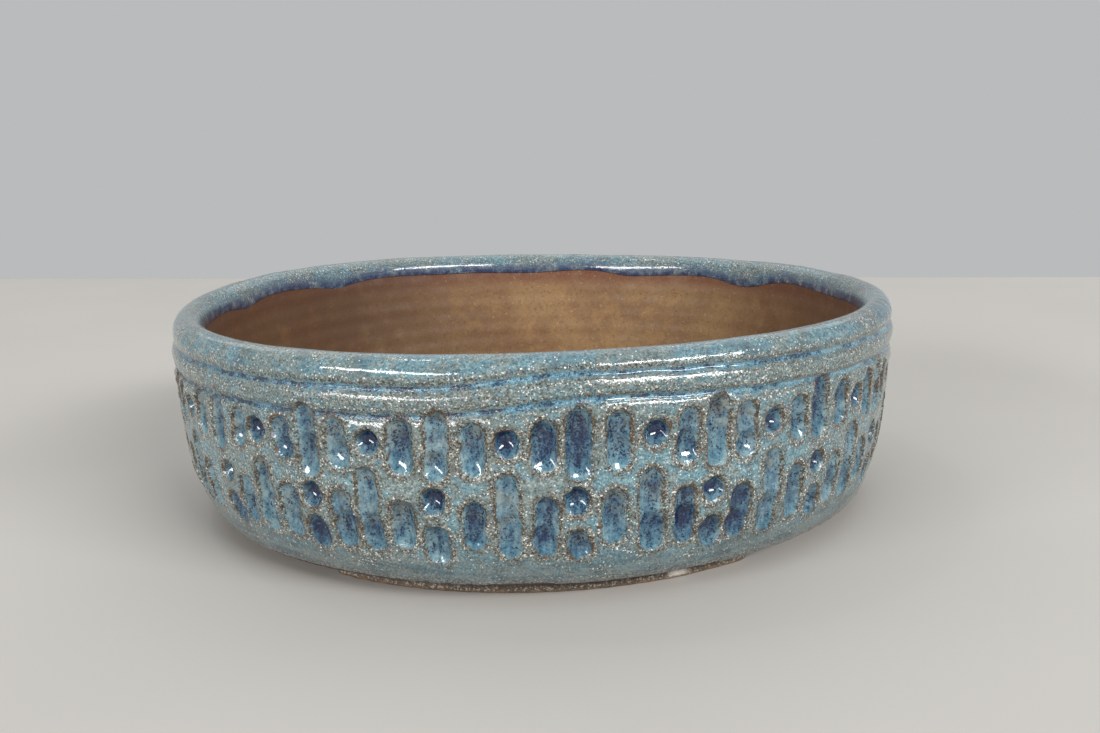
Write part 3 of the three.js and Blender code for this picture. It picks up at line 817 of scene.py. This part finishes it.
def glaze_material():
    s = Shade("blue_speckled_glaze")
    edge, deep, dark, low, line, over, sand, pool, thin, crest, clean, glint = map(
        s.field, "edge deep dark low line over sand pool thin crest clean glint".split())
    patch = s.noise(0.055, 3.0, 0.55)
    drift = s.noise(0.17, 2.0, 0.6, (1.0, 1.0, 1.3))
    cloud = s.noise(0.33, 3.0, 0.6)
    pulled = s.noise(0.8, 2.0, 0.6, (1.0, 1.0, 0.4))
    streak = s.noise(0.9, 3.0, 0.6, (0.22, 0.22, 1.0))
    blotch = s.noise(0.95, 2.0, 0.6)
    fleck = s.noise(1.9, 2.0, 0.7)
    tone, other, _ = s.grains(2.9)
    speck, spot, apart = s.grains(2.4)
    ragged = s.blend(edge, (blotch, 1.0), (fleck, 0.7))

    # Ground: clouds of teal on grey-green, darker in streaks, and swirled, with painted shade darkening it
    # towards the foot.
    value = s.blend(0.5, (tone, 0.34), (fleck, 1.3), (blotch, 0.9), (streak, -0.9))
    clouded = s.step(s.blend(patch, (cloud, 0.8), (drift, 0.5)), 0.42, 0.56)
    ground = s.mix(clouded, s.ramp(value, GREY_GREEN), s.ramp(value, TEAL))
    swirl = s.blend(s.noise(0.5, 3.0, 0.6, (0.14, 0.14, 1.0)), (fleck, 0.5), (drift, 0.5))
    painted_foot_shade = s.mix(s.step(swirl, 0.38, 0.6), PAINTED_SHADE_DARK, PAINTED_SHADE_PALE)
    # Painted shade: the ground turns to these darker swirled colours towards the foot.
    ground = s.mix(s.step(s.blend(s.height, (cloud, 6.0)), 20.0, 7.0, 0.0, 0.8), ground, painted_foot_shade)

    # The rim's crest: a little greyer, with navy stipple in patches, most on the side that "clean" marks.
    patches = s.step(s.blend(s.noise(0.1, 2.0, 0.6), (clean, 0.22)), 0.5, 0.66)
    inky = s.times(crest, patches, s.step(s.blend(fleck, (tone, 0.3)), 0.45, 0.6), 0.8)
    ground = s.mix(inky, ground, CREST_INK)
    ground = s.mix(s.times(crest, 0.18), ground, CREST_GREY)

    # Sandy grains of many tones, thickest by the carving and the lines, with white and black specks. The grey
    # is
    # partly painted shade: it is laid on the swell under the upper line and on the glint zones, ridges that
    # face up into the light. The white specks are partly white grains and partly painted highlight glints.
    # Painted shade: sand and glint grey the ridges under the lines, which face up into the light.
    ground = s.mix(s.most(s.times(sand, 0.3), s.times(glint, 0.45)), ground, SANDY_GREY_AND_PAINTED_SHADE)
    drifts = s.step(s.noise(0.08, 3.0, 0.6, (1.0, 1.0, 1.8)), 0.54, 0.68, 0.0, 0.6)
    sandy = s.most(s.times(sand, s.step(drift, 0.36, 0.54, 0.3, 1.0)), drifts)
    gritty = s.step(s.blend(sandy, (other, 0.95), (blotch, 0.9), (fleck, 0.7)), 0.34, 0.64)
    ground = s.mix(gritty, ground, s.ramp(s.blend(tone, (fleck, 0.5)), SANDSTONE))
    # White specks: partly white grains, partly painted highlight glints standing in for sparkle on the
    # grains.
    white = s.times(s.step(s.plus(speck, s.times(sandy, 0.1)), 0.975, 0.985), s.step(apart, 0.5, 0.3))
    ground = s.mix(s.times(white, s.step(s.height, 6.0, 15.0, 0.25, 0.85)), ground, WHITE_SPECK_AND_GLINT)
    black = s.times(s.step(spot, 0.968, 0.976), s.step(apart, 0.42, 0.25), 0.85)
    ground = s.mix(black, ground, BLACK_SPECK)

    # Gouges: a steel-blue wash, darker where it is deep and low on the pot, turning to sea blue near the
    # lower end and ashen in places near the top, with clusters of navy points. Painted shade darkens each
    # gouge towards its lower end, which turns up to the light.
    heart = s.math("POWER", deep, 1.6)
    want = s.plus(s.times(heart, s.plus(0.34, s.times(dark, 0.38))), s.times(dark, 0.28))
    wash = s.blend(s.plus(want, 0.06), (cloud, 1.5), (pulled, 0.9), (blotch, 0.5), (fleck, 0.5), (tone, 0.2))
    # Painted shade: the step on low darkens each gouge towards its lower end, which turns up to the light.
    wash = s.plus(wash, s.step(low, 0.55, 0.95, -0.06, 0.02), s.step(s.height, 26.0, 12.0, 0.0, 0.13),
                  s.step(dark, 0.8, 1.0, 0.0, 0.13))
    to_sea = s.times(s.step(s.blend(low, (cloud, 1.0)), 0.6, 0.95), 0.75)
    blue = s.mix(to_sea, s.ramp(wash, STEEL_BLUE), s.ramp(wash, SEA_BLUE))
    grey = s.times(s.step(s.blend(drift, (blotch, 0.6)), 0.45, 0.58), s.step(low, 0.2, 0.7, 0.85, 0.15),
                   s.step(dark, 0.3, 1.0, 1.0, 0.4))
    blue = s.mix(grey, blue, s.ramp(wash, ASHEN))
    points = s.blend(s.times(want, 0.7), (pulled, 1.3), (tone, 0.8), (blotch, 0.6), (fleck, 0.5))
    blue = s.mix(s.times(s.step(points, 0.53, 0.67), 0.9), blue, NAVY_POINT)
    colour = s.mix(s.step(ragged, 0.05, -0.25), ground, blue)

    # Scored lines: clear blue with navy dashes, ragged along their edges.
    dashes = s.step(s.noise(0.2, 2.0, 0.5), 0.44, 0.6)
    tint = s.blend(s.plus(0.22, s.times(dashes, line, 0.62)), (fleck, 1.2), (blotch, 0.8), (tone, 0.75),
                   (clean, -0.46))
    frayed = s.blend(line, (blotch, 1.9), (fleck, 1.1), (cloud, 1.4))
    colour = s.mix(s.times(s.step(frayed, 0.46, 0.7), 0.92), colour, s.ramp(tint, LINE_BLUE))

    # Where the glaze breaks over an edge it is thin and rusty: in a ring at each gouge, in a halo of grains
    # outside it, and above and below each line.
    broken = s.blend(s.step(low, 0.25, 0.95, 0.26, 0.02), (cloud, 1.3), (other, 0.5), (fleck, 0.7))
    ring = s.times(s.between(ragged, -0.45, -0.2, 0.3, 0.66), s.step(broken, 0.04, 0.2))
    halo = s.times(s.between(ragged, 0.2, 0.5, 0.8, 1.7), s.step(other, 0.66, 0.73), 0.75)
    above = s.blend(over, (blotch, 1.6), (cloud, 0.8))
    fringe = s.times(s.between(above, 0.8, 1.0, 1.4, 1.9), s.step(other, 0.45, 0.55), 0.8)
    under = s.times(s.between(above, -0.9, -1.1, -1.3, -1.7), s.step(other, 0.6, 0.7), 0.6)
    rust = s.ramp(s.blend(tone, (fleck, 0.8)), RUST)
    rust = s.mix(s.times(s.step(s.blend(cloud, (other, 0.7)), 0.6, 0.8), 0.5), rust, RUST_RED)
    colour = s.mix(s.times(s.most(ring, halo, fringe, under), 0.9), colour, rust)

    # Thin at the crest and the foot, deep blue where it gathers inside the rim.
    worn = s.ramp(s.blend(tone, (fleck, 0.9)), WORN)
    colour = s.mix(s.times(s.math("MINIMUM", thin, 1.0), s.step(cloud, 0.3, 0.55, 0.3, 0.85)), colour, worn)
    gathered = s.ramp(s.blend(0.5, (fleck, 1.2), (cloud, 1.0), (tone, 0.25)), GATHERED)
    colour = s.mix(s.times(pool, s.step(cloud, 0.32, 0.52, 0.4, 0.95)), colour, gathered)

    # Gloss: even in the gouges, the clean stretches of the lines and the pool, broken by grit elsewhere.
    in_line = s.step(line, 0.3, 0.8)
    groove = s.times(in_line, s.step(s.blend(clean, (drift, 0.6)), 0.3, 0.6))
    broken_line = s.times(in_line, s.rest(groove))
    calm = s.most(s.step(ragged, 0.1, -0.5), groove, pool)
    grit = s.most(s.plus(0.06, s.times(gritty, 0.94)), broken_line, glint)
    lively = s.times(s.rest(s.times(calm, 0.95)), grit, s.step(crest, 0.0, 1.0, 1.0, 0.35))
    rough = s.plus(0.04, s.times(lively, s.step(fleck, 0.4, 0.7, 0.0, 0.08)))
    lift = s.times(lively, s.rest(s.times(glint, 0.56)))
    s.put(s.surface.inputs["IOR"], 1.62)
    return s.finish(colour, rough, [(s.times(s.blend(fleck, (tone, 0.25)), lift), 0.045),
                                    (s.times(blotch, s.plus(0.12, s.times(lift, 0.88))), 0.09),
                                    (s.times(fleck, broken_line), 0.12),
                                    (cloud, 0.075)])


# The clay's colours inside the pot, and the feet's.
CLAY_BROWN, CLAY_TAN, CLAY_PALE = (120, 88, 57), (141, 111, 73), (160, 127, 83)
CLAY_WIPED, CLAY_RED, CLAY_MOTTLE = (118, 86, 58), (108, 62, 42), (108, 74, 52)
CLAY_SAND, CLAY_LIGHT_GRAIN, CLAY_DARK_GRAIN = (172, 138, 100), (188, 160, 122), (84, 58, 42)
# Painted shade: the first of these darkens the clay inside, away from the side left looking lit; the second
# darkens the outside's bottom edge.
CLAY_PAINTED_SHADE, CLAY_PAINTED_SHADE_LOW = (81, 54, 36), (58, 48, 41)
FOOT_PALE, FOOT_DARK, FOOT_SAND = (128, 104, 82), (98, 79, 63), (186, 148, 108)
RUN_PALE, RUN_DARK, RUN_SAND, RUN_RUST = (108, 97, 84), (72, 63, 56), (178, 170, 156), (98, 70, 50)
# The first of these is painted shade for the crease under the wall.
PAINTED_CREASE_SHADE, CHIP = (48, 42, 38), (246, 238, 226)


def clay_material():
    s = Shade("bare_red_clay")
    cloud = s.noise(0.16, 3.0, 0.6)
    mottle = s.noise(0.7, 3.0, 0.65)
    grit = s.noise(2.2, 2.0, 0.7)
    wiped = s.noise(0.5, 3.0, 0.6, (0.12, 0.12, 1.2))
    tone, other, _ = s.grains(1.5)
    colour = s.mix(s.step(s.noise(0.035, 3.0, 0.55), 0.38, 0.62), CLAY_BROWN, CLAY_TAN)
    for share, second in (
            (s.step(wiped, 0.45, 0.7, 0.0, 0.15), CLAY_WIPED),
            (s.step(cloud, 0.48, 0.66, 0.0, 0.45), CLAY_PALE),
            (s.times(s.field("red"), s.step(cloud, 0.2, 0.6, 0.6, 1.0)), CLAY_RED),
            (s.step(mottle, 0.48, 0.62, 0.0, 0.3), CLAY_MOTTLE),
            (s.step(grit, 0.52, 0.64, 0.0, 0.25), CLAY_SAND),
            (s.times(s.step(tone, 0.98, 0.985), 0.25), CLAY_LIGHT_GRAIN),
            (s.times(s.step(other, 0.965, 0.975), 0.4), CLAY_DARK_GRAIN),
            # Painted shade inside the pot, away from the side left looking lit.
            (s.times(s.field("painted_clay_shade"), s.step(cloud, 0.2, 0.6, 0.55, 0.85)), CLAY_PAINTED_SHADE),
            # Painted shade: the clay at the outside's bottom edge, just above the feet, is darkened.
            (s.times(s.between(s.height, 7.5, 6.0, 5.0, 4.4), 0.75), CLAY_PAINTED_SHADE_LOW)):
        colour = s.mix(share, colour, second)
    return s.finish(colour, s.step(cloud, 0.3, 0.7, 0.5, 0.75), [(grit, 0.06), (mottle, 0.08), (wiped, 0.04)])


def foot_material():
    """Bare clay at the bottom edge, a dark sandy run of glaze above it, and painted shade in the crease under
    the wall.
    """
    s = Shade("foot_clay_with_glaze_run")
    height = s.field("height")
    cloud = s.noise(0.3, 3.0, 0.6)
    fleck = s.noise(1.5, 3.0, 0.7)
    tone, other, _ = s.grains(2.8)
    clay = s.mix(s.step(cloud, 0.4, 0.62), FOOT_PALE, FOOT_DARK)
    clay = s.mix(s.times(s.step(fleck, 0.5, 0.64), 0.4), clay, FOOT_SAND)
    run = s.mix(s.step(fleck, 0.4, 0.62), RUN_PALE, RUN_DARK)
    run = s.mix(s.times(s.step(tone, 0.72, 0.78), 0.8), run, RUN_SAND)
    run = s.mix(s.times(s.step(other, 0.78, 0.84), 0.7), run, RUN_RUST)
    colour = s.mix(s.step(s.blend(height, (cloud, 2.2)), 0.3, 1.0), clay, run)
    # Painted shade: the top of each foot, in the crease under the wall, is darkened.
    colour = s.mix(s.times(s.step(height, 1.3, 2.3), 0.85), colour, PAINTED_CREASE_SHADE)
    colour = s.mix(s.field("chip"), colour, CHIP)
    return s.finish(colour, s.step(height, 0.8, 2.0, 0.85, 0.5), [(fleck, 0.2), (cloud, 0.3)])


def floor_material():
    """A matte, nearly even floor."""
    s = Shade("pale_floor")
    soft = s.noise(0.006, 3.0, 0.5)
    pale = srgb(200, 197, 191)
    darker = tuple(c * 0.965 for c in pale[:3]) + (1.0,)
    s.put(s.surface.inputs["Specular IOR Level"], 0.0)
    return s.finish(s.mix(s.step(soft, 0.3, 0.7), pale, darker), s.step(soft, 0.3, 0.7, 0.6, 0.7),
                    [(s.noise(0.9, 2.0, 0.5), 0.02)])


# The pieces.

coat = glaze_coat()
coat.data.materials.append(glaze_material())
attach(coat, "root")
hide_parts("pot_body")

clay = clay_body()
clay.data.materials.clear()
clay.data.materials.append(clay_material())
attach(clay, "root")
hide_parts("pot_body")

foot_clay = foot_material()
for node, turn in (("foot_front", 0.0), ("foot_rear_right", 120.0), ("foot_rear_left", -120.0)):
    made = foot(node + "_fine", turn)
    made.data.materials.append(foot_clay)
    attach(made, "root")
    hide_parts(node)

# The floor ends on a line through these two points, which is level in the photograph's view.
EDGE_LEFT, EDGE_RIGHT = Vector((-0.4269, 0.5515, 0.0)), Vector((0.3687, 0.3777, 0.0))
EDGE_RUNS_ON, FLOOR_NEARER = 0.9, Vector((0.0, -1.6, 0.0))
run_on = (EDGE_RIGHT - EDGE_LEFT).normalized() * EDGE_RUNS_ON
far_left, far_right = EDGE_LEFT - run_on, EDGE_RIGHT + run_on
floor_mesh = bpy.data.meshes.new("floor")
floor_mesh.from_pydata([far_left + FLOOR_NEARER, far_right + FLOOR_NEARER, far_right, far_left], [],
                       [(0, 1, 2, 3)])
floor_mesh.materials.append(floor_material())
add_object("floor", floor_mesh)

# The lamps are long panels aimed at the pot: name, first and last end as (azimuth, elevation) with azimuth
# 0 on the camera's side, distance, height of the panel, and radiance.
LAMPS = (("left_panel", (-24, 8), (-63, 22), 3.0, 0.39, 18.5),
         ("right_panel", (21, 28), (62, 23), 3.0, 0.45, 24.0),
         ("overhead", (-111, 69), (-119, 69), 1.2, 0.06, 28.0),
         ("rear_fill", (130, 40), (230, 40), 3.0, 2.4, 0.8))
AIM = Vector((0, 0, 0.05))


def toward(azimuth, elevation):
    """The direction of this azimuth and elevation."""
    a, e = math.radians(azimuth), math.radians(elevation)
    return Vector((math.sin(a) * math.cos(e), -math.cos(a) * math.cos(e), math.sin(e)))


for name, first, last, distance, height, radiance in LAMPS:
    start, end = (AIM + toward(*way) * distance for way in (first, last))
    middle = (start + end) / 2
    along = (end - start).normalized()
    away = middle - AIM
    away = (away - along * away.dot(along)).normalized()
    data = bpy.data.lights.new(name, "AREA")
    data.shape, data.size, data.size_y = "RECTANGLE", (end - start).length, height
    data.energy = radiance * math.pi * data.size * data.size_y
    facing = Matrix((along, away.cross(along), away)).transposed().to_4x4()
    add_object(name, data).matrix_world = Matrix.Translation(middle) @ facing

# The world lights the pot evenly, and is a pale grey wall where it is seen, reflected or refracted.
world = bpy.data.worlds.new("studio")
bpy.context.scene.world = world
world.use_nodes = True
nodes, link = world.node_tree.nodes, world.node_tree.links.new
air, wall, path = nodes["Background"], nodes.new("ShaderNodeBackground"), nodes.new("ShaderNodeLightPath")
air.inputs["Color"].default_value = (0.97, 0.98, 1.0, 1.0)
air.inputs["Strength"].default_value = 0.37
wall.inputs["Color"].default_value = srgb(186, 187, 188)
choose = nodes.new("ShaderNodeMixShader")
seen = path.outputs["Is Camera Ray"]
for ray in ("Is Glossy Ray", "Is Transmission Ray"):
    either = nodes.new("ShaderNodeMath")
    either.operation = "MAXIMUM"
    link(seen, either.inputs[0])
    link(path.outputs[ray], either.inputs[1])
    seen = either.outputs[0]
link(seen, choose.inputs[0])
link(air.outputs[0], choose.inputs[1])
link(wall.outputs[0], choose.inputs[2])
link(choose.outputs[0], nodes["World Output"].inputs["Surface"])

# The camera, fitted to the photograph. Its focal length is one picture width.
CAMERA_PLACE = (0.0, -0.3295, 0.1067)
PITCH_YAW_ROLL = (12.334, 0.663, -1.70)
pitch, yaw, roll = map(math.radians, PITCH_YAW_ROLL)
ahead = Vector((math.sin(yaw) * math.cos(pitch), math.cos(yaw) * math.cos(pitch), -math.sin(pitch)))
right = Vector((math.cos(yaw), -math.sin(yaw), 0.0))
above = right.cross(ahead)
across = right * math.cos(roll) + above * math.sin(roll)
upward = above * math.cos(roll) - right * math.sin(roll)
camera_data = bpy.data.cameras.new("camera")
camera_data.lens, camera_data.sensor_width, camera_data.sensor_fit = 36.0, 36.0, "HORIZONTAL"
camera_data.clip_start = 0.01
camera = add_object("camera", camera_data)
facing = Matrix((across, upward, -ahead)).transposed().to_4x4()
camera.matrix_world = Matrix.Translation(CAMERA_PLACE) @ facing
bpy.context.scene.camera = camera
bpy.context.scene.view_settings.view_transform = "Standard"
